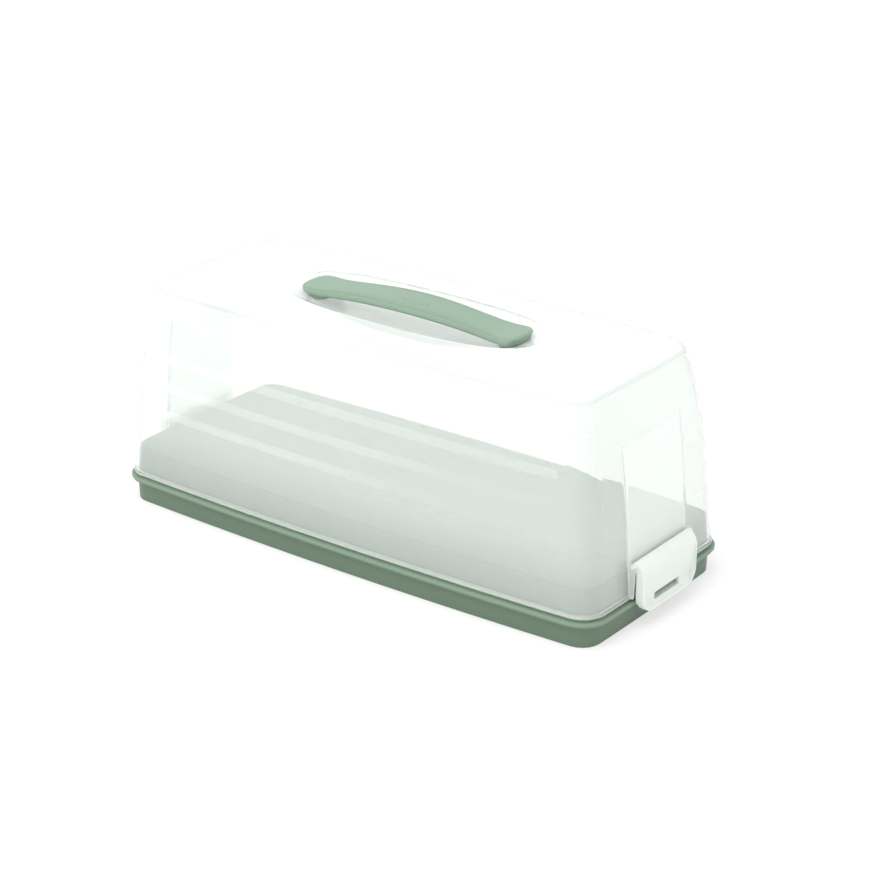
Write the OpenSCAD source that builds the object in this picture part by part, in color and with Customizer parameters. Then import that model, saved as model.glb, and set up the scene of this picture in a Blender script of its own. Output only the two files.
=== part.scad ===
// Long cake carrier: a raised tray, a clear lift-off hood with a slide-on handle, and two end clips
// that pivot on the hood and catch under the tray's rim.
// Millimetres, +Z up. The origin is on the table, under the middle of the tray. +X points to one clip.

/* [Hood outline] */
// Length of the hood over its bottom flange
hood_l = 348; // [300:1:420]
// Width of the hood over its bottom flange
hood_w = 147; // [130:1:190]
// Radius of the hood's upright corners
corner_r = 15; // [12:0.5:20]
// How far the long sides bow outwards
side_bow = 3.8; // [1:0.1:6]
// How far the short ends bow outwards
end_bow = 0.5; // [0.2:0.1:1.5]

/* [Hood walls] */
// Height of the roof's edge above the table
roof_z = 142.4; // [120:0.5:180]
// Wall thickness of the clear hood
hood_wall = 1.5; // [1.2:0.1:2]
// Thickness of the flange at the hood's foot
flange_t = 1.8; // [1.5:0.1:2.5]
// How far the flange stands out from the wall
flange_out = 0.8; // [0.6:0.1:1.4]
// Draft of the long walls over their whole height
side_draft = 6.4; // [4:0.1:8]
// Extra lean of the long walls near the roof
side_lean = 6.2; // [3:0.1:8]
// Draft of the end walls over their whole height
end_draft = 8; // [6:0.1:9]
// Extra lean of the end walls near the roof
end_lean = 9; // [5:0.1:11]
// Radius of the roof's edge
roof_r = 6; // [4:0.5:8]
// Rise of the roof towards its middle
roof_crown = 0.8; // [0:0.1:2]

/* [Handle dish] */
// Length of the dish that the handle spans
dish_l = 182; // [170:1:200]
// Width of the dish
dish_w = 64; // [54:1:70]
// Depth of the dish below the roof's edge
dish_depth = 17; // [10:0.5:22]
// Fullness of the dish's outline: 2 is an ellipse
dish_full = 2.7; // [2:0.1:3.5]

/* [Matt end panels] */
// Height of the top of the flat matt panel above each clip
panel_top = 108; // [80:1:115]
// How far the panel stands out from the wall
panel_out = 0.3; // [0.2:0.1:0.6]

/* [Tray] */
// Height of the ledge that the hood stands on
ledge_z = 18.2; // [16:0.2:22]
// Height of the flat deck that the cake stands on
deck_z = 35.6; // [30:0.2:42]
// Wall thickness of the tray
tray_wall = 2; // [1.6:0.1:2.4]
// How far the rim stands out beyond the hood's flange
rim_out = 1.8; // [1.2:0.1:2.4]
// Height of the rim's upright face with its chamfer
rim_h = 3.4; // [3:0.1:4]
// Drop from the ledge to the top of the rim
rim_drop = 1.4; // [0.8:0.1:1.8]
// Width of the slope under the rim's edge, where the clips catch
rim_slope = 0.9; // [0.8:0.1:1.2]
// Height of that slope
rim_rise = 1.3; // [1.2:0.1:1.8]
// How far the skirt stands in from the hood's flange line
skirt_in = 2.1; // [1.5:0.1:3]
// Draft of the skirt
skirt_draft = 0.4; // [0:0.1:1]
// Gap between the deck's wall and the hood's wall at the ledge
deck_gap = 1; // [0.6:0.1:2]
// Draft of the deck's wall
deck_draft = 0.9; // [0.4:0.1:2]
// Radius of the deck's edge
deck_r = 1.6; // [1:0.1:3]
// Depth of the stiffening ribs under the deck
rib_h = 5; // [3:1:12]
// Thickness of the stiffening ribs
rib_t = 1.6; // [1.2:0.1:2]
// Number of ribs across the tray
cross_ribs = 7; // [3:1:9]
// Number of ribs along the tray
long_ribs = 3; // [1:1:5]

/* [Clips] */
// Width of a clip over its sides
clip_w = 56.6; // [46:0.2:66]
// Height of the clip's pivot above the hood's foot
pivot_up = 20.3; // [18:0.1:24]
// Distance of the pivot from the hood's end wall
pivot_out = 3; // [2.8:0.1:3.4]
// Radius of the clip's pivot pins
pin_r = 1; // [0.8:0.05:1.1]
// Radial clearance between a pin and its eye
pin_gap = 0.06; // [0.04:0.01:0.1]
// Radius of the clip's rolled top edge
barrel_r = 1.9; // [1.6:0.1:2.2]
// How far the clip's front stands out beyond the tray's rim
clip_out = 5.9; // [5:0.1:7]
// Gap between the backs of the clip's sides and the rim
clip_gap = 0.7; // [0.5:0.1:1]
// Depth of the hollow in the clip's face
face_depth = 2.8; // [1.5:0.1:3]
// Thickness of the clip's face
clip_t = 1.7; // [1.4:0.1:2]
// Thickness of the clip's sides
side_t = 1.1; // [0.9:0.1:1.4]
// Length of the clip below the foot of the rim
clip_drop = 3.5; // [3:0.1:5]
// How far the lip at the bottom stands out further
lip_kick = 0.3; // [0:0.1:1]
// Radius of the clip's lower corners
clip_r = 9.5; // [6:0.5:11]
// Width of the slot through the clip
slot_w = 25.4; // [18:0.2:32]
// Height of the slot through the clip
slot_h = 4.4; // [2.5:0.1:5]
// How far the catch reaches under the rim
catch_in = 0.8; // [0.5:0.1:0.9]
// Gap between the catch and the rim
catch_gap = 0.15; // [0.1:0.05:0.3]
// Thickness of the eyes that hold the clip
eye_t = 1.2; // [1:0.1:1.8]
// Radius of the eyes round the pins
eye_r = 1.8; // [1.7:0.1:2.2]
// Gap between the clip's side and an eye
eye_side = 1; // [0.6:0.1:1.4]
// Gap between the end of the rolled edge and an eye
eye_gap = 0.3; // [0.2:0.05:0.5]

/* [Handle] */
// Length of the handle
handle_l = 157.4; // [150:1:164]
// Offset of the handle's middle from the hood's middle
handle_shift = 1.2; // [0:0.1:2]
// Half width of the handle at its middle
handle_mid = 13.3; // [11:0.1:15]
// Half width of the handle at its waists
handle_waist = 11.4; // [10.4:0.1:12]
// Half width of the handle's flared ends
handle_end = 13.5; // [12:0.1:15]
// Rise of the handle's ends above the roof's edge
handle_lift = 2.8; // [2.4:0.1:5]
// Rise of the handle's middle above its ends
handle_arch = 4.2; // [2:0.1:8]
// Distance from the handle's middle to where its arch runs out
handle_flat = 64; // [50:1:74]
// Depth of the handle's sides
handle_side = 5; // [3.8:0.1:6]
// Depth of the left tip's edge
handle_tip = 2.8; // [2.6:0.1:3.5]
// Wall thickness of the handle
handle_wall = 2; // [1.6:0.1:2.2]
// Distance from the handle's middle to the middle of each lug on the hood
lug_x = 69.8; // [67:0.2:70.4]
// Length of a lug along the handle
lug_l = 5.2; // [4:0.2:6]
// Width of a lug
lug_w = 17; // [14:0.5:18]
// Thickness of a lug's walls
lug_t = 1.5; // [1.2:0.1:1.8]
// Width of the tongue that slides into a lug
tongue_w = 9; // [7:0.5:10]
// Thickness of that tongue
tongue_t = 2; // [1.6:0.1:2.2]
// Clearance round a tongue in its lug
tongue_gap = 0.2; // [0.1:0.05:0.3]
// Length of the foot beside the left lug
foot_l = 13; // [9:0.5:16]
// Half width of that foot
foot_half = 10; // [9.5:0.1:10.4]
// Gap between the handle and the dish
seat_gap = 0.3; // [0.2:0.05:0.5]

/* [Hidden] */
$fn = 48;
eps = 0.01;
clear = [0.93, 0.96, 0.95, 0.45];
sage = [0.55, 0.68, 0.57];
milk = [0.90, 0.93, 0.91, 0.8];

// Points along each stretch of an outline, and along the handle
side_n = 6;
corner_n = 5;
strap_n = 28;
// Where the rings of the hood lie: up the walls to the panels' top, on to the roof, and in the dish
low_steps = [0.2, 0.45, 0.7];
high_steps = [0.3, 0.65];
roof_steps = [0.35, 0.75];
dish_steps = [1, 0.97, 0.92, 0.84, 0.74, 0.62, 0.48, 0.3, 0.12];
// Half the width of the step beside an end panel, and the height of the step at its top
step_half = 0.15;
panel_step = 2;
// Roundness of the dish's floor
dish_round = 1.15;
// How deep an eye is set into the wall that carries it
root = 0.9;
// Least radius of the tray's upright corners, and the chamfer along its edges
inner_r = 6;
edge_c = 0.4;

// Heights worked out from the ledge
flange_top = ledge_z + flange_t;
rim_top = ledge_z - rim_drop;
rim_foot = rim_top - rim_h;

// The clip's place, on the +X end
eye_y = clip_w / 2 + eye_side + eye_t / 2;
pivot_z = ledge_z + pivot_up;
pivot_x = wall_x(pivot_z) + pivot_out;
rim_x = hood_l / 2 + rim_out;
clip_back = rim_x + clip_gap;
clip_x = rim_x + clip_out;
plate_out = clip_x - face_depth;
plate_in = plate_out - clip_t;
clip_top = pivot_z + barrel_r;
clip_foot = rim_foot - clip_drop;
catch_x = rim_x - catch_in;
// The top of the catch, which is also the foot of the slot
slot_low = rim_foot - catch_gap;
// Half width of the matt panel above the clip
panel_half = eye_y;

// The crown of the roof, which the dish is measured down from
dish_top = roof_z + roof_crown;
// The handle's tongues lie just above the dish's floor at the tongues' outer ends
tongue_z = floor_z(lug_x + lug_l / 2 + seat_gap + handle_wall / 2, 0) + seat_gap;
// Where the right-hand end wall starts, and how far its foot is drawn in
wall_start = lug_x + lug_l / 2 + 1;
wall_draft = 0.8;
// The place of the waists, the length of the round tips and their fullness
waist_at = 0.69;
tip_l = 10;
tip_full = 2.8;
// How fast the handle's arch runs out
arch_end = 1.3;
// Place and depth of the creases on the handle's top, and the radius of its lower edge
crease_in = 2.4;
crease_d = 0.25;
edge_r = 0.9;
// Height of the widest point of a clip's front below its pivot, and the radius of its front edge
nose_drop = 9.5;
front_r = 1.2;
// How far below the pivot the hollow in a clip's face starts, and how much it draws in at its floor
bowl_start = 4;
bowl_in = 1.2;
// How far the face curves out above the clip's foot
bowl_foot = 5;
nose_z = pivot_z - nose_drop;
face_top = pivot_z - bowl_start;
// Thickness of the catch at its tip and of the clip's lip at its foot
catch_t = 0.8;
lip_t = 1.4;

// ---- outlines -----------------------------------------------------------------------------------

// A quarter of a rectangle with bowed sides and round corners, from the middle of the front to the
// middle of the +X end. s is the half width of a flat panel on the end, which stands out by p.
function quarter(l, w, r, bl, bw, s, p) =
    let (
        ca = l / 2 - r - bw,
        cb = w / 2 - r - bl,
        ra = (ca * ca + bl * bl) / (2 * bl),
        rb = (cb * cb + bw * bw) / (2 * bw),
        ta = asin(ca / ra),
        tb = asin(cb / rb),
        mid_y = ra - cb - bl,
        mid_x = ca + bw - rb,
        corner_y = cb + r * sin(tb)
    )
    concat(
        [for (i = [0 : side_n - 1]) let (t = ta * i / side_n)
            [(ra + r) * sin(t), mid_y - (ra + r) * cos(t)]],
        [for (i = [0 : corner_n - 1]) let (t = -90 + ta + (90 - ta - tb) * i / corner_n)
            [ca + r * cos(t), -cb + r * sin(t)]],
        [for (y = [corner_y, (corner_y + s) / 2, s + step_half, s - step_half, s / 2])
            [mid_x + sqrt((rb + r) * (rb + r) - y * y) + (y < s ? p : 0), -y]]
    );

// A whole outline, from the middle of the -X end along the front and round
function outline(l, w, r, bl, bw, s, p) =
    let (q = quarter(l, w, r, bl, bw, s, p), n = len(q), e = l / 2 + p)
    concat(
        [[-e, 0]],
        [for (i = [n - 1 : -1 : 1]) [-q[i][0], q[i][1]]],
        q,
        [[e, 0]],
        [for (i = [n - 1 : -1 : 1]) [q[i][0], -q[i][1]]],
        [for (i = [0 : n - 1]) [-q[i][0], -q[i][1]]]
    );

// An outline at one height
function at_z(o, z) = [for (q = o) [q[0], q[1], z]];

function reversed(list) = [for (i = [len(list) - 1 : -1 : 0]) list[i]];

// Triangles across a ring from its front half to its back half
function strip(n) =
    concat(
        [[0, 1, n - 1]],
        [for (i = [1 : n / 2 - 2]) each [[i, i + 1, n - i], [i + 1, n - i - 1, n - i]]],
        [[n / 2 - 1, n / 2, n / 2 + 1]]
    );

// A closed skin through rings of equal length, which run from the inside of a shell, down over its
// edge and up the outside. Its first and last rings are closed by strips, so they may be arched.
module loft(rings) {
    n = len(rings[0]);
    last = (len(rings) - 1) * n;
    points = [for (r = rings) each r];
    sides = [for (k = [0 : len(rings) - 2]) for (i = [0 : n - 1])
        let (j = (i + 1) % n, a = k * n, b = a + n)
        each [[a + i, b + j, a + j], [a + i, b + i, b + j]]];
    inside = strip(n);
    outside = [for (f = strip(n)) [for (v = reversed(f)) v + last]];
    polyhedron(points, concat(sides, inside, outside));
}

// ---- hood ---------------------------------------------------------------------------------------

// How far the walls have leaned in at height z
function rise(z) = max(0, min(1, (z - flange_top) / (roof_z - flange_top)));
function side_in(z) = flange_out + side_draft * rise(z) + side_lean * pow(rise(z), 4);
function end_in(z) = flange_out + end_draft * rise(z) + end_lean * pow(rise(z), 4);
function wall_x(z) = hood_l / 2 - end_in(z);

// The wall's outline at height z, moved in by t, with the end panels standing out by p
function wall_ring(z, t, p) =
    at_z(outline(hood_l - 2 * (end_in(z) + t), hood_w - 2 * (side_in(z) + t), corner_r - t,
        side_bow, end_bow, panel_half, p), z);

// The round edge of the roof: a is 0 at the wall and 90 on the roof
function edge_ring(a, t) =
    let (z = roof_z - roof_r, r = roof_r - t, d = t + r * (1 - cos(a)))
    at_z(outline(hood_l - 2 * (end_in(z) + d), hood_w - 2 * (side_in(z) + d), corner_r - t,
        side_bow, end_bow, panel_half, 0), z + r * sin(a));

// The dish: s is 0 at its middle and 1 at its edge
function dish_s(x, y) =
    pow(pow(abs(2 * x / dish_l), dish_full) + pow(abs(2 * y / dish_w), dish_full), 1 / dish_full);
function dish_z(s) = dish_top - dish_depth * pow(1 - s * s, dish_round);
function floor_z(x, y) = dish_z(min(1, dish_s(x, y)));
function dish_ring(s, t) =
    [for (q = outline(dish_l, dish_w, dish_w / 3, dish_w / 9, 1, dish_w / 16, 0))
        let (k = s / dish_s(q[0], q[1]))
        [q[0] * k, q[1] * k, dish_z(s) - t]];

// The roof between its round edge, at f = 0, and the dish, at f = 1
function roof_ring(f, t) =
    let (e = edge_ring(90, t), d = dish_ring(1, t))
    [for (i = [0 : len(e) - 1])
        [e[i][0] * (1 - f) + d[i][0] * f, e[i][1] * (1 - f) + d[i][1] * f,
            roof_z - t + roof_crown * f * (2 - f)]];

// All rings of the hood's outside, or of its inside when t is the wall's thickness
function hood_rings(t, p) =
    concat(
        [wall_ring(flange_top, t, 0), wall_ring(flange_top + panel_step, t, p)],
        [for (f = low_steps) wall_ring(flange_top + f * (panel_top - flange_top), t, p)],
        [wall_ring(panel_top, t, p), wall_ring(panel_top + panel_step, t, 0)],
        [for (f = high_steps) wall_ring(panel_top + f * (roof_z - roof_r - panel_top), t, 0)],
        [for (a = [0 : 18 : 90]) edge_ring(a, t)],
        [for (f = roof_steps) roof_ring(f, t)],
        [for (s = dish_steps) dish_ring(s, t)]
    );

module hood_shell() {
    foot = outline(hood_l, hood_w, corner_r, side_bow, end_bow, panel_half, 0);
    loft(concat(
        reversed(hood_rings(hood_wall, 0)),
        [[for (q = wall_ring(flange_top, hood_wall, 0)) [q[0], q[1], ledge_z]]],
        [at_z(foot, ledge_z), at_z(foot, flange_top)],
        hood_rings(0, panel_out)
    ));
}

// One of the two eyes beside a clip: a thin upright rib on the end wall with a round bore
module eye() {
    low = flange_top - root;
    high = pivot_z + eye_r;
    rotate([90, 0, 0]) difference() {
        union() {
            cylinder(h = eye_t, r = eye_r, center = true);
            translate([-pivot_x, -pivot_z, -eye_t / 2]) linear_extrude(eye_t) polygon([
                [wall_x(low) - root, low],
                [rim_x, low],
                [pivot_x + eye_r, pivot_z],
                [pivot_x, high],
                [wall_x(high) - root, high]
            ]);
        }
        cylinder(h = 2 * eye_t, r = pin_r + pin_gap, center = true);
    }
}

// A lug on the dish's floor at +X: a low bridge that the handle's tongue slides under
module lug() {
    x0 = lug_x - lug_l / 2;
    x1 = lug_x + lug_l / 2;
    high = tongue_z + tongue_t + tongue_gap + lug_t;
    gap_w = tongue_w + 2 * tongue_gap;
    difference() {
        rotate([90, 0, 0]) linear_extrude(lug_w, center = true) polygon([
            [x0, floor_z(x0, 0) - hood_wall / 2],
            [x1, floor_z(x1, 0) - hood_wall / 2],
            [x1, high],
            [x0, high]
        ]);
        translate([x0 - eps, -gap_w / 2, tongue_z - tongue_gap])
            cube([lug_l + 2 * eps, gap_w, tongue_t + 2 * tongue_gap]);
    }
}

module hood() {
    color(clear) {
        hood_shell();
        for (end = [0, 1]) mirror([end, 0, 0]) {
            for (side = [-1, 1]) translate([pivot_x, side * eye_y, pivot_z]) eye();
            lug();
        }
    }
}

// ---- handle -------------------------------------------------------------------------------------

// Half width of the handle at x, before its ends are rounded
function strap_half(x) =
    let (u = abs(2 * x / handle_l))
    u < waist_at
        ? handle_waist + (handle_mid - handle_waist) * (1 + cos(180 * u / waist_at)) / 2
        : handle_end + (handle_waist - handle_end) * (1 + cos(180 * (u - waist_at) / (1 - waist_at))) / 2;

// The rounding of the handle's ends, 1 along its length and 0 at its tips
function end_round(x) =
    let (v = max(0, min(1, (abs(x) - handle_l / 2 + tip_l) / tip_l)))
    pow(1 - pow(v, tip_full), 1 / tip_full);

// Height of the handle's top
function strap_top(x) =
    roof_z + handle_lift + handle_arch * pow(max(0, 1 - pow(x / handle_flat, 2)), arch_end);

// A ring of the handle, moved in by t and down from its top by d
function strap_ring(t, d) =
    [for (q = strap_outline) let (x = q[0] * (1 - 2 * t / handle_l))
        [x, q[1] * (1 - t / handle_mid), strap_top(x) - d]];

// Depth of the handle's sides: shallow at the left tip
function strap_side(x) =
    handle_tip + (handle_side - handle_tip)
        * (1 - pow(max(0, min(1, (-x - handle_flat) / (handle_l / 2 - handle_flat))), 2));

// The lower edge of the handle's sides, raised by d. At the right-hand end it reaches down to the dish.
function strap_foot(t, d) =
    [for (q = strap_outline)
        let (
            deep = q[0] > wall_start,
            in = t + (deep ? wall_draft : 0),
            x = q[0] * (1 - 2 * in / handle_l),
            y = q[1] * (1 - in / handle_mid)
        )
        [x, y, d + (deep ? floor_z(x + handle_shift, y) + seat_gap : strap_top(x) - strap_side(q[0]))]];

// The shallow crease along each side of the top, which fades out before the ends
function crease(x) = crease_d * max(0, 1 - pow(abs(2 * x / handle_l) / waist_at, 6));
function crease_ring(t, d) = [for (q = strap_ring(t, d)) [q[0], q[1], q[2] - crease(q[0])]];

strap_x = [for (i = [0 : strap_n]) -handle_l / 2 * cos(180 * i / strap_n)];
strap_outline = concat(
    [for (x = strap_x) [x, -strap_half(x) * end_round(x)]],
    [for (i = [strap_n - 1 : -1 : 1]) [strap_x[i], strap_half(strap_x[i]) * end_round(strap_x[i])]]
);

module strap() {
    w = handle_wall;
    e = edge_r;
    loft([
        strap_ring(handle_mid - 1, w), strap_ring(w + 1, w), strap_ring(w, w + e / 3),
        strap_foot(w, 0), strap_foot(e, 0), strap_foot(e / 4, e / 4), strap_foot(0, e),
        strap_ring(0, 1.4 * e), strap_ring(0.4 * e, 0.6 * e), strap_ring(1.3 * e, 0.2 * e),
        strap_ring(crease_in - e / 2, e / 8), crease_ring(crease_in, e / 8),
        strap_ring(crease_in + e / 2, e / 8), strap_ring(handle_mid / 2, e / 16),
        strap_ring(handle_mid - 1, 0)
    ]);
}

// A wall across the handle, from its plate down to the dish, between x0 and x1
module cross_wall(x0, x1) {
    far = max(abs(x0), abs(x1));
    half = foot_half;
    translate([x0, 0, 0]) rotate([90, 0, 90]) linear_extrude(x1 - x0) polygon(concat(
        [for (y = [-half : half / 4 : half]) [y, floor_z(far, y) + seat_gap]],
        [[half, strap_top(x0) - handle_wall / 2], [-half, strap_top(x0) - handle_wall / 2]]
    ));
}

// One of the two webs behind the left foot, which curve up into the handle's sides
module foot_web(x0, side) {
    w = handle_wall;
    low = floor_z(x0, foot_half) + seat_gap;
    high = strap_top(x0 + foot_l) - handle_side + edge_r / 2;
    translate([0, side * (foot_half - w / 2), 0]) rotate([90, 0, 0])
        linear_extrude(w, center = true) polygon(concat(
            [for (u = [0 : 0.2 : 1]) [x0 + foot_l * u, low + (high - low) * u * u]],
            [[x0 + foot_l, strap_top(x0) - w / 2], [x0, strap_top(x0) - w / 2]]
        ));
}

// A tongue that points towards -X, from x1 into the lug at x0
module tongue(x0, x1) {
    translate([x0, -tongue_w / 2, tongue_z]) cube([x1 - x0, tongue_w, tongue_t]);
}

module handle() {
    w = handle_wall;
    left_x = -lug_x + lug_l / 2 + seat_gap;
    right_x = lug_x + lug_l / 2 + seat_gap;
    color(sage) {
        translate([handle_shift, 0, 0]) strap();
        cross_wall(left_x, left_x + w);
        for (side = [-1, 1]) foot_web(left_x, side);
        tongue(-lug_x - lug_l / 2, left_x + w / 2);
        cross_wall(right_x, right_x + w);
        tongue(lug_x - lug_l / 2, right_x + w / 2);
    }
}

// ---- tray ---------------------------------------------------------------------------------------

// The tray's outline, moved in from the hood's flange line by t
function tray_ring(z, t) =
    at_z(outline(hood_l - 2 * t, hood_w - 2 * t, max(corner_r - t, inner_r), side_bow, end_bow,
        panel_half, 0), z);

module tray() {
    w = tray_wall;
    base = flange_out + hood_wall + deck_gap;
    deck = base + deck_draft;
    ledge = flange_out + hood_wall / 2;
    in_deck = deck + w;
    foot = skirt_in + skirt_draft;
    color(sage) {
        loft(concat(
            [tray_ring(deck_z - w, in_deck + deck_r), tray_ring(deck_z - w - deck_r, in_deck)],
            [tray_ring(rim_top - w, base + w), tray_ring(rim_top - w, skirt_in + w)],
            [tray_ring(0, foot + w - edge_c), tray_ring(0, foot + edge_c)],
            [tray_ring(edge_c, foot), tray_ring(rim_foot, skirt_in)],
            [tray_ring(rim_foot, rim_slope - rim_out), tray_ring(rim_foot + rim_rise, -rim_out)],
            [tray_ring(rim_top - edge_c, -rim_out), tray_ring(rim_top, edge_c - rim_out)],
            [tray_ring(rim_top, ledge), tray_ring(ledge_z, ledge), tray_ring(ledge_z, base)],
            [for (a = [0 : 22.5 : 90])
                tray_ring(deck_z - deck_r * (1 - sin(a)), deck + deck_r * (1 - cos(a)))]
        ));
        tray_ribs();
    }
}

// Ribs under the deck, across and along, that run into the walls round them
module tray_ribs() {
    reach = flange_out + hood_wall + deck_gap + deck_draft + tray_wall / 2;
    top = deck_z - tray_wall / 2;
    span_x = hood_l - 2 * reach - 2 * end_bow;
    span_y = hood_w - 2 * reach - 2 * side_bow;
    for (i = [1 : cross_ribs]) translate([-hood_l / 2 + hood_l * i / (cross_ribs + 1), 0, 0])
        translate([-rib_t / 2, -span_y / 2, top - rib_h]) cube([rib_t, span_y, rib_h]);
    for (i = [1 : long_ribs]) translate([0, -hood_w / 2 + hood_w * i / (long_ribs + 1), 0])
        translate([-span_x / 2, -rib_t / 2, top - rib_h]) cube([span_x, rib_t, rib_h]);
}

// ---- clips --------------------------------------------------------------------------------------

// The clip's outline seen from the end, as a slab that stands up across X: square at the top and
// round at its lower corners
module clip_slab(x, t, half, foot, top, r) {
    translate([x, 0, 0]) rotate([90, 0, 90]) linear_extrude(t) {
        translate([-half + r, foot]) square([2 * half - 2 * r, top - foot]);
        translate([-half, foot + r]) square([2 * half, top - foot - r]);
        for (y = [-half + r, half - r]) translate([y, foot + r]) circle(r, $fn = 32);
    }
}

// The clip's front at height z, where it curves in towards the pivot
function nose_x(z) =
    pivot_x + (clip_x - pivot_x) * sqrt(1 - pow(max(0, z - nose_z) / (clip_top - nose_z), 2));

// The bottom of the hollow in the clip's face at height z: it falls back from the round front
function face_x(z) =
    let (u = max(0, (z - clip_foot - bowl_foot) / (face_top - clip_foot - bowl_foot)))
    plate_out + (nose_x(face_top) - plate_out) * (1 - pow(1 - u, 2));

// The clip from the side: its round front, its lip, and its back, which slopes out to the lip
module clip_side() {
    tip = clip_x + lip_kick;
    back_z = rim_foot + 2 * rim_rise;
    rotate([90, 0, 0]) linear_extrude(clip_w, center = true) polygon(concat(
        [for (a = [0 : 0.1 : 1]) let (z = clip_top + (nose_z - clip_top) * a * a) [nose_x(z), z]],
        [[clip_x, rim_foot], [tip, clip_foot]],
        [for (u = [1 : -0.2 : 0])
            [clip_back + (tip - lip_t - clip_back) * u * u, back_z + (clip_foot - back_z) * u]],
        [[clip_back, nose_z + nose_drop / 2], [pivot_x, pivot_z - barrel_r / 2]]
    ));
}

// The shallow hollow in the clip's face, which curves out to the lip at its foot
module clip_bowl() {
    front = clip_x + lip_kick + 1;
    low = clip_foot + side_t;
    high = clip_foot + bowl_foot;
    deep = side_t + bowl_in;
    intersection() {
        rotate([90, 0, 0]) linear_extrude(clip_w, center = true) polygon(concat(
            [for (u = [0 : 0.125 : 1]) let (z = high + (face_top - high) * u) [face_x(z), z]],
            [[front, face_top], [front, low]],
            [for (u = [1 : -0.2 : 0.2]) [plate_out + (clip_x + lip_kick - plate_out) * u * u,
                high + (low - high) * u]]
        ));
        hull() {
            clip_slab(plate_out - eps, eps, clip_w / 2 - deep, low, clip_top, clip_r - deep);
            clip_slab(clip_x - front_r, eps, clip_w / 2 - side_t, low, clip_top, clip_r - side_t);
            clip_slab(front, eps, clip_w / 2 - side_t, low, clip_top, clip_r - side_t);
        }
    }
}

// The hollow behind the clip's face
module clip_hollow() {
    high = pivot_z - barrel_r - eps;
    rotate([90, 0, 0]) linear_extrude(clip_w - 2 * side_t, center = true) polygon(concat(
        [[pivot_x - 1, slot_low]],
        [for (u = [0 : 0.125 : 1]) let (z = slot_low + (face_top - slot_low) * u)
            [face_x(z) - clip_t, z]],
        [[nose_x(high) - 1.5 * clip_t, high], [pivot_x - 1, high]]
    ));
}

module clip() {
    half = clip_w / 2;
    difference() {
        union() {
            intersection() {
                clip_side();
                hull() {
                    clip_slab(pivot_x, clip_x - front_r - pivot_x, half, clip_foot, clip_top, clip_r);
                    clip_slab(clip_x - front_r / 4, eps, half - front_r / 4, clip_foot, clip_top,
                        clip_r - front_r / 4);
                    clip_slab(clip_x + lip_kick, eps, half - front_r, clip_foot, clip_top,
                        clip_r - front_r);
                }
            }
            translate([pivot_x, 0, pivot_z]) rotate([90, 0, 0])
                cylinder(h = clip_w + 2 * (eye_side - eye_gap), r = barrel_r, center = true);
        }
        clip_bowl();
        clip_hollow();
        translate([clip_back - 1, -slot_w / 2, slot_low]) cube([clip_out, slot_w, slot_h]);
    }
    // The catch, as wide as the slot above it
    rotate([90, 0, 0]) linear_extrude(slot_w, center = true) polygon([
        [plate_out, slot_low],
        [catch_x, slot_low],
        [catch_x, slot_low - catch_t],
        [plate_out, slot_low - 2 * catch_t]
    ]);
    // The pivot pins
    translate([pivot_x, 0, pivot_z]) rotate([90, 0, 0])
        cylinder(h = 2 * eye_y + eye_t, r = pin_r, center = true);
}

module right_clip() {
    color(milk) clip();
}

module left_clip() {
    color(milk) mirror([1, 0, 0]) clip();
}

tray();
hood();
handle();
left_clip();
right_clip();
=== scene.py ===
import math

import bmesh
import bpy
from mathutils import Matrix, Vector


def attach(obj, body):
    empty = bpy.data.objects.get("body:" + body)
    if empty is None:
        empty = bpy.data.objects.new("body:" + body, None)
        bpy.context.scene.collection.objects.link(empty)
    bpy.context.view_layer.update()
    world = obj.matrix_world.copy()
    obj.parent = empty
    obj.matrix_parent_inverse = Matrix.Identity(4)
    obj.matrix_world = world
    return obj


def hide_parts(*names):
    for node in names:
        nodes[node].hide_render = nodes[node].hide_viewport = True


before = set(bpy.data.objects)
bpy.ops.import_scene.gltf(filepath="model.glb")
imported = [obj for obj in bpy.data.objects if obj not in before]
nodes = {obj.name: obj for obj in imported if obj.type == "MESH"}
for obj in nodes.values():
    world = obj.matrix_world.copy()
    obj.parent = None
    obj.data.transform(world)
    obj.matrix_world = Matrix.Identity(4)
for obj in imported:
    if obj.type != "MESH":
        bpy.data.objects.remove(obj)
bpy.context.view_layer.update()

# ---- camera ----
# A long lens looks down at the carrier from beyond its front right-hand corner. The picture's frame
# sits a little above the lens's axis.
picture_px = 870
focal_px = 2437.4
axis_right_px = 1.8
axis_above_px = 46.1
camera_azimuth = math.radians(36.93)
camera_height = math.radians(24.3)
camera_distance = 1.4988
camera_target = Vector((-0.00845, 0.03047, 0.01934))

camera_data = bpy.data.cameras.new("picture_camera")
camera_data.sensor_width = 36.0
camera_data.lens = camera_data.sensor_width * focal_px / picture_px
camera_data.shift_x = axis_right_px / picture_px
camera_data.shift_y = axis_above_px / picture_px
camera_data.clip_start = 0.05
camera_data.clip_end = 30.0
camera = bpy.data.objects.new("picture_camera", camera_data)
towards_camera = Vector((
    math.sin(camera_azimuth) * math.cos(camera_height),
    -math.cos(camera_azimuth) * math.cos(camera_height),
    math.sin(camera_height),
))
camera.location = camera_target + towards_camera * camera_distance
camera.rotation_mode = "QUATERNION"
camera.rotation_quaternion = (-towards_camera).to_track_quat("-Z", "Y")
bpy.context.scene.collection.objects.link(camera)
bpy.context.scene.camera = camera
bpy.context.scene.view_settings.view_transform = "Standard"


# ---- table ----
# A white matt table runs out of the picture on every side and takes the carrier's soft shadow. It
# glows a little for the camera, so that it stays white. It is not part of the carrier.
table_radius = 9.0
table_segments = 64
table_white = (0.97, 0.97, 0.97, 1.0)
table_glow = 0.6


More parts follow.
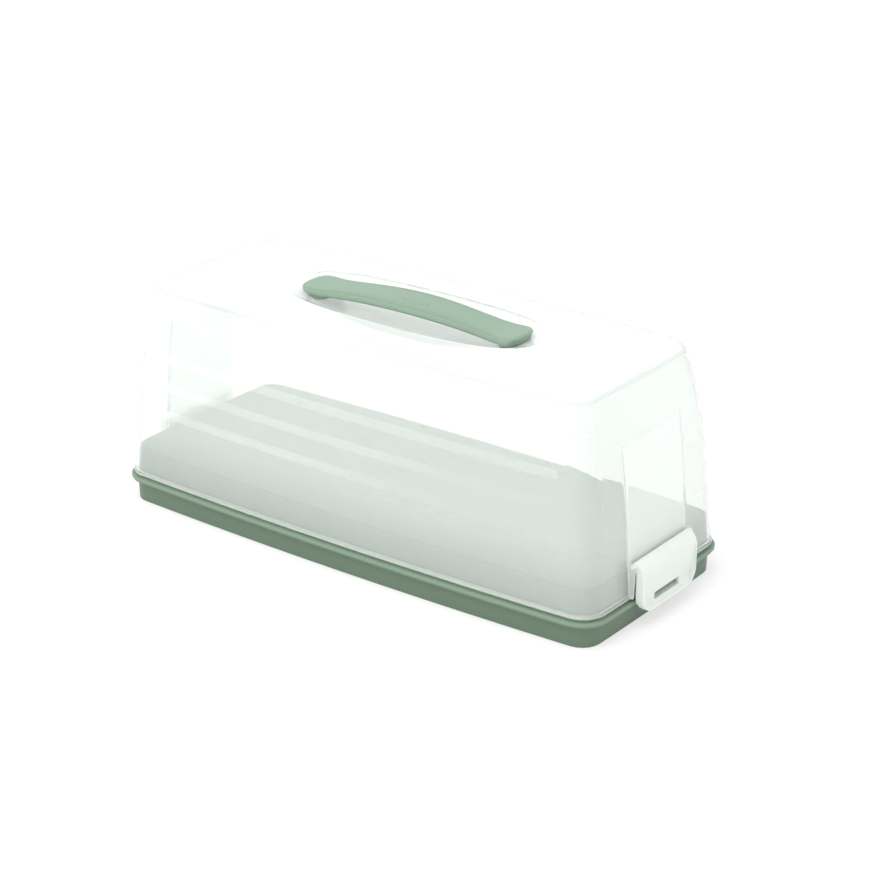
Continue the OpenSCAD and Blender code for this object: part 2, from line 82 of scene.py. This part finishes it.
class Signal:
    """A value in a material. Arithmetic on signals adds Math nodes beside them."""

    def __init__(self, socket):
        self.socket = socket

    def math(self, operation, *values):
        tree = self.socket.id_data
        node = tree.nodes.new("ShaderNodeMath")
        node.operation = operation
        for slot, value in zip(node.inputs, values):
            if isinstance(value, Signal):
                tree.links.new(value.socket, slot)
            else:
                slot.default_value = value
        return Signal(node.outputs[0])

    def __add__(self, other):
        return self.math("ADD", self, other)

    def __radd__(self, other):
        return self.math("ADD", other, self)

    def __sub__(self, other):
        return self.math("SUBTRACT", self, other)

    def __rsub__(self, other):
        return self.math("SUBTRACT", other, self)

    def __mul__(self, other):
        return self.math("MULTIPLY", self, other)

    def __rmul__(self, other):
        return self.math("MULTIPLY", other, self)

    def __pow__(self, other):
        return self.math("POWER", self, other)

    def size(self):
        return self.math("ABSOLUTE", self)

    def at_most(self, limit):
        return self.math("MINIMUM", self, limit)

    def near(self, place, reach):
        """1 at place, falling to 0 at reach on either side of it."""
        return 1 - (self - place).size().above(reach / 2, reach / 2)

    def above(self, edge, soft):
        """1 above edge and 0 below it, over a soft step."""
        tree = self.socket.id_data
        node = tree.nodes.new("ShaderNodeMapRange")
        node.interpolation_type = "SMOOTHSTEP"
        tree.links.new(self.socket, node.inputs["Value"])
        node.inputs["From Min"].default_value = edge - soft
        node.inputs["From Max"].default_value = edge + soft
        return Signal(node.outputs["Result"])


class Finish:
    """A material that is put together node by node."""

    def __init__(self, name):
        self.material = bpy.data.materials.new(name)
        self.material.use_nodes = True
        self.tree = self.material.node_tree
        self.tree.nodes.clear()

    def node(self, kind, settings=None, sockets=None, out=0):
        """One node: its settings first, then the values or links of its sockets."""
        node = self.tree.nodes.new("ShaderNode" + kind)
        for name, value in (settings or {}).items():
            setattr(node, name, value)
        for name, value in (sockets or {}).items():
            if isinstance(value, Signal):
                self.tree.links.new(value.socket, node.inputs[name])
            else:
                node.inputs[name].default_value = value
        return Signal(node.outputs[out]) if node.outputs else node

    def place(self):
        """The point on the piece, in metres, in the carrier's own frame."""
        return self.node("TexCoord", out="Object")

    def axis(self, name):
        return self.node("SeparateXYZ", sockets={"Vector": self.place()}, out=name)

    def noise(self, scale, detail=3.0, roughness=0.5, stretch=(1.0, 1.0, 1.0)):
        """Noise with features about 1 / scale metres across."""
        point = self.node("VectorMath", {"operation": "MULTIPLY"}, {0: self.place(), 1: stretch})
        return self.node("TexNoise", sockets={
            "Vector": point, "Scale": scale, "Detail": detail, "Roughness": roughness,
        })

    def blend(self, share, a, b):
        """Colour a, turning into colour b as share goes from 0 to 1."""
        return self.node("Mix", {"data_type": "RGBA"}, {0: share, 6: a, 7: b}, out=2)

    def bump(self, height, depth, strength=1.0):
        return self.node("Bump", sockets={"Height": height, "Distance": depth, "Strength": strength})

    def surface(self, shader):
        self.node("OutputMaterial", sockets={"Surface": shader})
        return self.material


def mesh_piece(name, made, material):
    """A new object from a bmesh, shaded smoothly, with one material."""
    mesh = bpy.data.meshes.new(name)
    made.to_mesh(mesh)
    made.free()
    mesh.materials.append(material)
    for face in mesh.polygons:
        face.use_smooth = True
    piece = bpy.data.objects.new(name, mesh)
    bpy.context.scene.collection.objects.link(piece)
    return piece


table_finish = Finish("white_table")
table_seen = table_finish.node("LightPath", out="Is Camera Ray")
table_seen += table_finish.node("LightPath", out="Is Glossy Ray")
table_seen += table_finish.node("LightPath", out="Is Transmission Ray")
table_matt = table_finish.node("BsdfDiffuse", sockets={"Color": table_white})
table_light = table_finish.node("Emission", sockets={"Strength": 1.0})
table_made = bmesh.new()
bmesh.ops.create_circle(table_made, cap_ends=True, radius=table_radius, segments=table_segments)
table_share = table_seen.at_most(1.0) * table_glow
table = mesh_piece("table", table_made, table_finish.surface(table_finish.node(
    "MixShader", sockets={0: table_share, 1: table_matt, 2: table_light})))


# ---- studio light ----
# A white room lights the carrier evenly, and one large soft box above it gives the tops a little more.
# Nothing glossy mirrors the soft box.
room_level = 1.0
soft_box_side = 1.3
soft_box_power = 15.0
soft_box_place = Vector((-0.10, -0.65, 1.45))

room = bpy.data.worlds.new("white_room")
bpy.context.scene.world = room
room.use_nodes = True
room_tree = room.node_tree
room_tree.nodes.clear()
room_light = room_tree.nodes.new("ShaderNodeBackground")
room_out = room_tree.nodes.new("ShaderNodeOutputWorld")
room_light.inputs["Color"].default_value = (1.0, 1.0, 1.0, 1.0)
room_light.inputs["Strength"].default_value = room_level
room_tree.links.new(room_light.outputs[0], room_out.inputs["Surface"])

soft_box_data = bpy.data.lights.new("soft_box", "AREA")
soft_box_data.shape = "SQUARE"
soft_box_data.size = soft_box_side
soft_box_data.energy = soft_box_power
soft_box = bpy.data.objects.new("soft_box", soft_box_data)
soft_box.location = soft_box_place
soft_box.rotation_mode = "QUATERNION"
soft_box.rotation_quaternion = (-soft_box_place).to_track_quat("-Z", "Y")
soft_box.visible_glossy = False
bpy.context.scene.collection.objects.link(soft_box)


# ---- tray ----
# The tray is one moulding in sage green plastic: a skirt, a rim and a raised deck. Its tool was
# finely spark-eroded, which gives the plastic its satin grain.
tray_green = (0.107, 0.168, 0.110, 1.0)
tray_light_green = (0.115, 0.181, 0.119, 1.0)
plastic_ior = 1.49
# Tones for painted light and painted shade on the sage parts.
painted_light_tone = 1.35
painted_light_haze = 0.045
painted_shade_tone = 0.45
groove_depth = 6.0
# Where the painted highlight on the rim's face and the painted shade line on the deck's round edge lie.
rim_foot = 0.0149
rim_soft = 0.0004
ledge_low = 0.0175
ledge_soft = 0.0002
deck_edge = 0.0349
deck_edge_reach = 0.0008
deck_edge_shade_share = 0.5
weld_reach = 0.00002
sharp_from = math.radians(32)


def dress(name, material):
    """Gives a piece of the frame its finish, and lets its round stretches shade smoothly."""
    piece = nodes[name]
    piece.data.materials.clear()
    piece.data.materials.append(material)
    for face in piece.data.polygons:
        face.use_smooth = True
        face.material_index = 0
    weld = piece.modifiers.new("weld", "WELD")
    weld.merge_threshold = weld_reach
    split = piece.modifiers.new("crisp_edges", "EDGE_SPLIT")
    split.split_angle = sharp_from
    return piece


def satin(name, green, light_green, painted_light_and_relief):
    """Satin moulded plastic: faint clouds in the colour, a fine grain and a few hairline scuffs. The
    function passed in gives the shares of a painted shade and a painted light over the piece, of its
    grooves and of its smooth places."""
    finish = Finish(name)
    clouds = finish.noise(14.0, 4.0)
    grain = finish.noise(2600.0, 2.0)
    swell = finish.noise(160.0, 2.0)
    scuffs = finish.noise(55.0, 5.0, 0.7, (1.0, 26.0, 5.0)).above(0.64, 0.05)
    colour = finish.blend(clouds * 0.8 + grain * 0.2, green, light_green)
    relief = grain * 0.6 + swell * 0.15
    painted_shade, painted_light, groove, smooth = painted_light_and_relief(finish)
    lit_colour = [part * painted_light_tone + painted_light_haze for part in green[:3]] + [1.0]
    shaded_colour = [part * painted_shade_tone for part in green[:3]] + [1.0]
    # The painted shade and painted light go into the colour here.
    colour = finish.blend(painted_shade, finish.blend(painted_light, colour, lit_colour), shaded_colour)
    relief = relief * (1 - smooth) - groove * groove_depth
    return finish.surface(finish.node("BsdfPrincipled", sockets={
        "Base Color": colour,
        "Roughness": 0.36 + clouds * 0.08 + grain * 0.05 - scuffs * 0.07,
        "Normal": finish.bump(relief, 0.00006, 0.4),
        "IOR": plastic_ior,
    }))


def tray_painted_light_and_relief(finish):
    """A painted highlight lightens the rim's face, and a painted shade line darkens the deck's round
    edge. The deck is smooth.
    """
    z = finish.axis("Z")
    deck = z.above(ledge_low, ledge_soft)
    rim_highlight = z.above(rim_foot, rim_soft) * (1 - deck)
    # A painted shade line along the deck's round edge.
    edge = z.near(deck_edge, deck_edge_reach)
    return edge * deck_edge_shade_share, rim_highlight, 0.0, deck


tray = dress("tray", satin("tray_satin", tray_green, tray_light_green, tray_painted_light_and_relief))


# ---- hood ----
# The hood is one thin clear moulding, open below. Its walls bow outwards and lean in towards a crowned
# roof, which dips into a dish for the handle. A slight milkiness veils what stands behind it, and a
# matt panel above each clip is sparked into its tool.
hood_length = 0.348
hood_width = 0.147
hood_corner = 0.015
side_bow = 0.0038
end_bow = 0.0005
ledge_height = 0.0182
roof_height = 0.1424
wall = 0.0015
flange_thick = 0.0018
flange_out = 0.0008
flange_round = 0.0003
side_draft = 0.0064
side_lean = 0.0062
end_draft = 0.008
end_lean = 0.009
roof_round = 0.006
roof_crown = 0.0008
dish_length = 0.182
dish_width = 0.064
dish_depth = 0.017
dish_full = 2.7
dish_round = 1.15
panel_top = 0.108
panel_out = 0.0003
panel_half = 0.0299
panel_step = 0.002
step_half = 0.00015
side_steps = 20
corner_steps = 12
edge_steps = 12
panel_rows = (0.12, 0.24, 0.36, 0.48, 0.6, 0.72, 0.84, 0.94)
upper_rows = (0.16, 0.32, 0.48, 0.64, 0.8, 0.92)
roof_rows = (0.1, 0.25, 0.45, 0.65, 0.82, 0.93, 0.98)
dish_rows = (1.0, 0.997, 0.99, 0.98, 0.965, 0.945, 0.92, 0.89, 0.86, 0.82, 0.78, 0.73, 0.68, 0.62,
    0.56, 0.49, 0.42, 0.35, 0.27, 0.19, 0.1, 0.04)
dish_outline = (dish_width / 3, dish_width / 9, 0.001, dish_width / 16)
flange_height = ledge_height + flange_thick


def outline(length, width, radius, bow_side, bow_end, panel, out):
    """Points round a rectangle with bowed sides and round corners, from the middle of its front."""
    ca = length / 2 - radius - bow_end
    cb = width / 2 - radius - bow_side
    ra = (ca * ca + bow_side * bow_side) / (2 * bow_side)
    rb = (cb * cb + bow_end * bow_end) / (2 * bow_end)
    ta = math.asin(ca / ra)
    tb = math.asin(cb / rb)
    corner_y = cb + radius * math.sin(tb)
    quarter = []
    for i in range(side_steps):
        turn = ta * i / side_steps
        quarter.append((
            (ra + radius) * math.sin(turn), ra - cb - bow_side - (ra + radius) * math.cos(turn)))
    for i in range(corner_steps):
        turn = -math.pi / 2 + ta + (math.pi / 2 - ta - tb) * i / corner_steps
        quarter.append((ca + radius * math.cos(turn), -cb + radius * math.sin(turn)))
    gap = corner_y - panel
    for y in (corner_y, panel + gap * 0.7, panel + gap * 0.35, panel + gap * 0.1, panel + step_half,
              panel - step_half, panel * 0.9, panel * 0.6, panel * 0.3):
        x = ca + bow_end - rb + math.sqrt((rb + radius) ** 2 - y * y)
        quarter.append((x + (out if y < panel else 0.0), -y))
    rest = quarter[1:]
    end = length / 2 + out
    return (quarter + [(end, 0.0)] + [(x, -y) for x, y in reversed(rest)] + [(0.0, width / 2)]
        + [(-x, -y) for x, y in rest] + [(-end, 0.0)] + [(-x, y) for x, y in reversed(rest)])


def side_in(z):
    """How far the long walls stand in from the hood's foot at height z."""
    rise = max(0.0, min(1.0, (z - flange_height) / (roof_height - flange_height)))
    return flange_out + side_draft * rise + side_lean * rise ** 4


def end_in(z):
    """How far the end walls stand in from the hood's foot at height z."""
    rise = max(0.0, min(1.0, (z - flange_height) / (roof_height - flange_height)))
    return flange_out + end_draft * rise + end_lean * rise ** 4


def hood_outline(z, inwards, out=0.0):
    return outline(hood_length - 2 * (end_in(z) + inwards), hood_width - 2 * (side_in(z) + inwards),
        max(hood_corner - inwards, 0.004), side_bow, end_bow, panel_half, out)


def wall_ring(z, inwards, out=0.0):
    return [(x, y, z) for x, y in hood_outline(z, inwards, out)]


def edge_ring(degrees, inwards):
    """A ring of the roof's round edge, from the wall at 0 degrees to the roof at 90."""
    turn = math.radians(degrees)
    z = roof_height - roof_round
    radius = roof_round - inwards
    moved = inwards + radius * (1 - math.cos(turn))
    points = outline(hood_length - 2 * (end_in(z) + moved), hood_width - 2 * (side_in(z) + moved),
        hood_corner - inwards, side_bow, end_bow, panel_half, 0.0)
    return [(x, y, z + radius * math.sin(turn)) for x, y in points]


def dish_share(x, y):
    """0 in the middle of the dish and 1 on its edge."""
    along = abs(2 * x / dish_length) ** dish_full
    across = abs(2 * y / dish_width) ** dish_full
    return (along + across) ** (1 / dish_full)


def dish_height(share):
    return roof_height + roof_crown - dish_depth * max(0.0, 1 - share * share) ** dish_round


def dish_ring(share, down):
    points = outline(dish_length, dish_width, *dish_outline, 0.0)
    return [(x * share / dish_share(x, y), y * share / dish_share(x, y), dish_height(share) - down)
        for x, y in points]


def roof_ring(share, down):
    """A ring of the roof, from its round edge at 0 to the dish at 1."""
    height = roof_height - down + roof_crown * share * (2 - share)
    return [(a[0] + (b[0] - a[0]) * share, a[1] + (b[1] - a[1]) * share, height)
        for a, b in zip(edge_ring(90, down), dish_ring(1.0, down))]


def hood_rings(inwards, out):
    """The rings of the hood's outside, or of its inside, from the flange up and into the dish."""
    wall_top = roof_height - roof_round
    rings = [wall_ring(flange_height, inwards), wall_ring(flange_height + panel_step, inwards, out)]
    for share in panel_rows:
        rings.append(wall_ring(flange_height + share * (panel_top - flange_height), inwards, out))
    rings += [wall_ring(panel_top, inwards, out), wall_ring(panel_top + panel_step, inwards)]
    for share in upper_rows:
        rings.append(wall_ring(panel_top + share * (wall_top - panel_top), inwards))
    rings += [edge_ring(90 * i / edge_steps, inwards) for i in range(edge_steps + 1)]
    rings += [roof_ring(share, inwards) for share in roof_rows]
    return rings + [dish_ring(share, inwards) for share in dish_rows]


def lofted(rings):
    """A skin through rings of equal length, in order from the inside of a shell to its outside."""
    made = bmesh.new()
    count = len(rings[0])
    loops = [[made.verts.new(point) for point in ring] for ring in rings]
    for low, high in zip(loops, loops[1:]):
        for i in range(count):
            j = (i + 1) % count
            made.faces.new((low[i], low[j], high[j], high[i]))
    for loop, turned in ((loops[0], True), (loops[-1], False)):
        middle = made.verts.new(sum((v.co for v in loop), Vector()) / count)
        for i in range(count):
            j = (i + 1) % count
            made.faces.new((loop[j], loop[i], middle) if turned else (loop[i], loop[j], middle))
    return made


def crisp(made):
    """Marks the edges that stay crisp while the rest shades smoothly."""
    made.edges.ensure_lookup_table()
    for edge in made.edges:
        if len(edge.link_faces) == 2 and edge.calc_face_angle() > sharp_from:
            edge.smooth = False
    return made


foot_out = outline(hood_length, hood_width, hood_corner, side_bow, end_bow, panel_half, 0.0)
foot_in = outline(hood_length - 2 * flange_round, hood_width - 2 * flange_round,
    hood_corner - flange_round, side_bow, end_bow, panel_half, 0.0)
shell_rings = list(reversed(hood_rings(wall, 0.0)))
shell_rings += [[(x, y, ledge_height) for x, y in hood_outline(flange_height, wall)]]
shell_rings += [[(x, y, ledge_height) for x, y in foot_in]]
shell_rings += [[(x, y, ledge_height + flange_round) for x, y in foot_out]]
shell_rings += [[(x, y, flange_height - flange_round) for x, y in foot_out]]
shell_rings += [[(x, y, flange_height) for x, y in foot_in]]
shell_rings += hood_rings(0.0, panel_out)

hood_white = (0.935, 0.985, 0.950, 1.0)
# The grey below is a painted shade: the hood's colour turns to it where the hood is seen edge-on and in
# a band along the roof's round edge.
hood_edge_shade_grey = (0.42, 0.45, 0.43, 1.0)
veil = 0.27
low_veil = 0.17
veil_rise = 0.022
cloud_share = 0.03
panel_veil = 0.22
panel_rough = 0.40
panel_start = 0.1530
fold_reach = 0.0020
edge_on_shade_power = 5.0
edge_on_shade_share = 0.6
fold_shade_share = 0.35
# The flange gets more of the white body: a painted highlight.
flange_highlight_share = 0.14
flange_line = 0.0004

hood_finish = Finish("hood_clear")
hood_x = hood_finish.axis("X").size()
hood_y = hood_finish.axis("Y").size()
hood_z = hood_finish.axis("Z")
panel = (hood_x.above(panel_start, 0.0005) * (1 - hood_y.above(panel_half, 0.0003))
    * (1 - hood_z.above(panel_top, 0.001)))
hood_clouds = hood_finish.noise(9.0, 3.0)
hood_swell = hood_finish.noise(17.0, 1.0)
hood_grain = hood_finish.noise(1500.0, 2.0)
# Painted shade: the colour greys, and the body thickens, where the hood is seen edge-on and along the
# roof's round edge.
hood_facing = hood_finish.node("LayerWeight", sockets={"Blend": 0.5}, out="Facing")
hood_edge_on_shade = hood_facing ** edge_on_shade_power
hood_fold_shade = hood_z.near(roof_height - roof_round + fold_reach, fold_reach) * hood_finish.noise(9.0, 1.0)
# A painted highlight on the flange: more of the white body there.
hood_flange_highlight = 1 - hood_z.above(flange_height + flange_line, flange_line)
hood_body = hood_finish.node("BsdfPrincipled", sockets={
    "Base Color": hood_finish.blend(hood_edge_on_shade + hood_fold_shade, hood_white, hood_edge_shade_grey),
    "Roughness": 0.04 + hood_clouds * 0.01 + panel * panel_rough,
    "Normal": hood_finish.bump(hood_grain * panel, 0.00005, 0.5),
    "IOR": plastic_ior,
})
hood_light_rays = hood_finish.node("LightPath", out="Is Shadow Ray")
hood_light_rays += hood_finish.node("LightPath", out="Is Diffuse Ray")
hood_inside = hood_finish.node("NewGeometry", out="Backfacing")
hood_glass = hood_finish.node("BsdfGlass", sockets={
    "Roughness": 0.0,
    "IOR": plastic_ior,
    "Normal": hood_finish.bump(hood_swell * hood_inside, 0.00004),
})
hood_film = hood_finish.node("BsdfTransparent")
hood_clear = hood_finish.node("MixShader", sockets={
    0: hood_light_rays.at_most(1.0), 1: hood_glass, 2: hood_film})
hood_veil = low_veil + (veil - low_veil) * hood_z.above(flange_height + veil_rise, veil_rise)
hood_share = (hood_veil + (hood_clouds - 0.5) * cloud_share + panel * panel_veil + hood_edge_on_shade * edge_on_shade_share
    + hood_fold_shade * fold_shade_share + hood_flange_highlight * flange_highlight_share)
hood_material = hood_finish.surface(hood_finish.node(
    "MixShader", sockets={0: hood_share, 1: hood_clear, 2: hood_body}))

hood_shell = mesh_piece("hood_shell", crisp(lofted(shell_rings)), hood_material)
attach(hood_shell, "hood")
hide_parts("hood")

# Two upright eyes stand on each end wall beside the clip, and hold its pins.
pivot_x = 0.174986
pivot_z = 0.0385
pin_bore = 0.00106
eye_round = 0.0018
eye_thick = 0.0012
eye_root = 0.0009
rim_x = 0.1758
eye_steps = 48
parallel = 1e-12
slack = 1e-6


def eye_profile():
    """The eye's outline round its bore, as pairs of outer and inner points in the XZ plane."""
    low = flange_height - eye_root
    high = pivot_z + eye_round
    wall_low = hood_length / 2 - end_in(low) - eye_root
    wall_high = hood_length / 2 - end_in(high) - eye_root
    corners = [(wall_low, low), (rim_x, low), (pivot_x + eye_round, pivot_z)]
    for degrees in range(10, 91, 10):
        turn = math.radians(degrees)
        corners.append((pivot_x + eye_round * math.cos(turn), pivot_z + eye_round * math.sin(turn)))
    corners += [(wall_high, high)]
    turns = [math.tau * i / eye_steps for i in range(eye_steps)]
    turns += [math.atan2(z - pivot_z, x - pivot_x) % math.tau for x, z in corners]
    turns = sorted(set(round(t, 5) for t in turns))
    pairs = []
    for turn in turns:
        dx, dz = math.cos(turn), math.sin(turn)
        reach = 1.0
        for (x0, z0), (x1, z1) in zip(corners, corners[1:] + corners[:1]):
            ex, ez = x1 - x0, z1 - z0
            cross = dx * ez - dz * ex
            if abs(cross) > parallel:
                along = ((x0 - pivot_x) * ez - (z0 - pivot_z) * ex) / cross
                share = ((x0 - pivot_x) * dz - (z0 - pivot_z) * dx) / cross
                if along > 0 and -slack <= share <= 1 + slack:
                    reach = min(reach, along)
        pairs.append(((pivot_x + dx * reach, pivot_z + dz * reach),
            (pivot_x + dx * pin_bore, pivot_z + dz * pin_bore)))
    return pairs


def plate_with_hole(made, pairs, y, thick, mirrored):
    """A plate across Y with a hole through it, from pairs of outer and inner points."""
    side = -1.0 if mirrored else 1.0
    rings = []
    for points, depth in ((0, 0.5), (0, -0.5), (1, -0.5), (1, 0.5)):
        rings.append([made.verts.new((side * pair[points][0], y + thick * depth, pair[points][1]))
            for pair in pairs])
    for ring, after in zip(rings, rings[1:] + rings[:1]):
        for i in range(len(pairs)):
            j = (i + 1) % len(pairs)
            made.faces.new((ring[i], ring[j], after[j], after[i]))


eyes_made = bmesh.new()
for mirrored in (False, True):
    for y in (-panel_half, panel_half):
        plate_with_hole(eyes_made, eye_profile(), y, eye_thick, mirrored)
bmesh.ops.recalc_face_normals(eyes_made, faces=eyes_made.faces)
hood_eyes = mesh_piece("hood_eyes", crisp(eyes_made), hood_material)
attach(hood_eyes, "hood")

# A low bridge on each end of the dish's floor takes one of the handle's tongues.
lug_x = 0.0698
lug_length = 0.0052
lug_width = 0.017
lug_wall = 0.0015
tongue_width = 0.009
tongue_thick = 0.002
tongue_gap = 0.0002
seat_gap = 0.0003
handle_wall = 0.002
tongue_end = lug_x + lug_length / 2 + seat_gap + handle_wall / 2
tongue_height = dish_height(dish_share(tongue_end, 0.0)) + seat_gap

lugs_made = bmesh.new()
for side in (-1.0, 1.0):
    sections = []
    for x in (lug_x - lug_length / 2, lug_x + lug_length / 2):
        low = dish_height(dish_share(x, 0.0)) - wall / 2
        high = tongue_height + tongue_thick + tongue_gap + lug_wall
        half = lug_width / 2
        hole = tongue_width / 2 + tongue_gap
        hole_low = tongue_height - tongue_gap
        hole_high = tongue_height + tongue_thick + tongue_gap
        outer = [(-half, low), (half, low), (half, high), (-half, high)]
        inner = [(-hole, hole_low), (hole, hole_low), (hole, hole_high), (-hole, hole_high)]
        sections.append([
            [lugs_made.verts.new((side * x, y, z)) for y, z in loop] for loop in (outer, inner)])
    (near_out, near_in), (far_out, far_in) = sections
    for ring, after in ((near_out, far_out), (far_out, far_in), (far_in, near_in), (near_in, near_out)):
        for i in range(4):
            j = (i + 1) % 4
            lugs_made.faces.new((ring[i], ring[j], after[j], after[i]))
bmesh.ops.recalc_face_normals(lugs_made, faces=lugs_made.faces)
hood_lugs = mesh_piece("hood_lugs", crisp(lugs_made), hood_material)
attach(hood_lugs, "hood")


# ---- light bars ----
# Three light bars lie in front of the carrier. Only what is glossy shows them, and they are bent so
# that the hood's bowed front wall shows them as straight bands. They are not part of the carrier.
bar_level = 2.6
bar_height = 0.010
bar_half = 0.0027
bar_steps = 32
bar_left = -0.150
bar_right = 0.150
bars = {"upper": (0.0986, 1.0), "middle": (0.0813, 0.35), "lower": (0.0640, 0.25)}
bar_fade = 0.075


def front_point(x, z):
    """The point on the hood's front wall at x and z."""
    ca = hood_length / 2 - end_in(z) - hood_corner - end_bow
    cb = hood_width / 2 - side_in(z) - hood_corner - side_bow
    ra = (ca * ca + side_bow * side_bow) / (2 * side_bow)
    return Vector((x, ra - cb - side_bow - math.sqrt((ra + hood_corner) ** 2 - x * x), z))


def bar_point(x, z):
    """Where the camera's ray to the front wall at x and z lands, once the wall has mirrored it."""
    step = 0.001
    point = front_point(x, z)
    across = front_point(x + step, z) - front_point(x - step, z)
    up = front_point(x, z + step) - front_point(x, z - step)
    normal = across.cross(up).normalized()
    ray = (point - camera.location).normalized().reflect(normal)
    return point + ray * ((bar_height - z) / ray.z)


for name, (bar_z, right_share) in bars.items():
    bar_finish = Finish("light_bar_" + name)
    bar_share = 1 - bar_finish.axis("X").above(-bar_fade, bar_fade) * (1 - right_share)
    bar_dim = bar_finish.node("Emission", sockets={"Strength": 1.0})
    bar_bright = bar_finish.node("Emission", sockets={"Strength": bar_level})
    bar_light = bar_finish.node("MixShader", sockets={0: bar_share, 1: bar_dim, 2: bar_bright})
    bar_made = bmesh.new()
    rows = []
    for i in range(bar_steps + 1):
        x = bar_left + (bar_right - bar_left) * i / bar_steps
        rows.append([bar_made.verts.new(bar_point(x, bar_z + shift)) for shift in (-bar_half, bar_half)])
    for a, b in zip(rows, rows[1:]):
        bar_made.faces.new((a[0], b[0], b[1], a[1]))
    bar = mesh_piece("light_bar_" + name, bar_made, bar_finish.surface(bar_light))
    bar.active_material.cycles.emission_sampling = "FRONT_BACK"
    bar.visible_camera = False
    bar.visible_diffuse = False
    bar.visible_transmission = False
    bar.visible_shadow = False


# ---- handle ----
# The handle is a hollow strap in sage green, painted paler than the tray to stand in for the stronger
# light on its top. It slides on to two lugs in the hood's dish. A plain sunk oval lies on its top, and a
# fine crease runs between the top and each side. The oval, the creases and the foot get painted shade,
# and the sides get painted light.
handle_green_lit = (0.222, 0.318, 0.238, 1.0)
handle_light_green_lit = (0.236, 0.334, 0.252, 1.0)
handle_shift = 0.0012
handle_lift = 0.0028
handle_arch = 0.0042
handle_flat = 0.064
arch_end = 1.3
handle_side = 0.005
oval_x = 0.0048
oval_y = -0.0037
oval_half_length = 0.0088
oval_half_width = 0.0026
oval_line = 0.22
middle_half = 0.058
middle_soft = 0.012
crease_depth = 0.0005
crease_reach = 0.0007
foot_height = 0.0007
side_depth = 0.0010
crease_shade_share = 0.22
foot_shade_share = 0.85
oval_shade_share = 0.30
side_light_share = 0.35


def handle_painted_light_and_relief(finish):
    """Painted shade in the creases, along the foot and in the oval, and painted light on the sides, from
    the depth below the arched top.
    """
    x = finish.axis("X") - handle_shift
    y = finish.axis("Y")
    reach = (x * (1 / handle_flat)).size().at_most(1.0)
    top = roof_height + handle_lift + handle_arch * (1 - reach * reach) ** arch_end
    depth = top - finish.axis("Z")
    middle = 1 - x.size().above(middle_half, middle_soft)
    crease = depth.near(crease_depth, crease_reach) * middle
    foot_shade = depth.above(handle_side - foot_height, 0.0003) * middle
    facing_y = finish.node("SeparateXYZ", sockets={
        "Vector": finish.node("NewGeometry", out="Normal")}, out="Y").size()
    # Painted light on the sides that face front and back.
    side = depth.above(side_depth, 0.0004) * facing_y.above(0.6, 0.2) * (1 - foot_shade)
    across = (x - (oval_x - handle_shift)) * (1 / oval_half_length)
    along = (y - oval_y) * (1 / oval_half_width)
    on_top = 1 - depth.above(side_depth, 0.0002)
    oval = (across * across + along * along).near(1.0, oval_line * 2) * on_top
    # Painted shade in the crease, along the foot and in the oval.
    painted_shade = crease * crease_shade_share + foot_shade * foot_shade_share + oval * oval_shade_share
    return painted_shade, side * side_light_share, oval + crease * 0.5, 0.0


handle = dress("handle", satin("handle_satin", handle_green_lit, handle_light_green_lit, handle_painted_light_and_relief))


# ---- clips ----
# Each clip is moulded in milky plastic that lets some light through. Its pins turn in the hood's eyes.
clip_white = (0.84, 0.89, 0.85, 1.0)
clip_grey = (0.79, 0.85, 0.80, 1.0)
clip_solid = 0.86

clip_finish = Finish("clip_milky")
clip_clouds = clip_finish.noise(60.0, 3.0)
clip_grain = clip_finish.noise(2400.0, 2.0)
clip_body = clip_finish.node("BsdfPrincipled", sockets={
    "Base Color": clip_finish.blend(clip_clouds, clip_white, clip_grey),
    "Roughness": 0.26 + clip_clouds * 0.10,
    "Normal": clip_finish.bump(clip_grain, 0.00004, 0.4),
    "IOR": plastic_ior,
})
clip_share = clip_solid + (clip_clouds - 0.5) * 0.05
clip_clear = clip_finish.node("BsdfTransparent")
clip_material = clip_finish.surface(clip_finish.node(
    "MixShader", sockets={0: clip_share, 1: clip_clear, 2: clip_body}))
for side in ("left", "right"):
    dress(side + "_clip", clip_material)
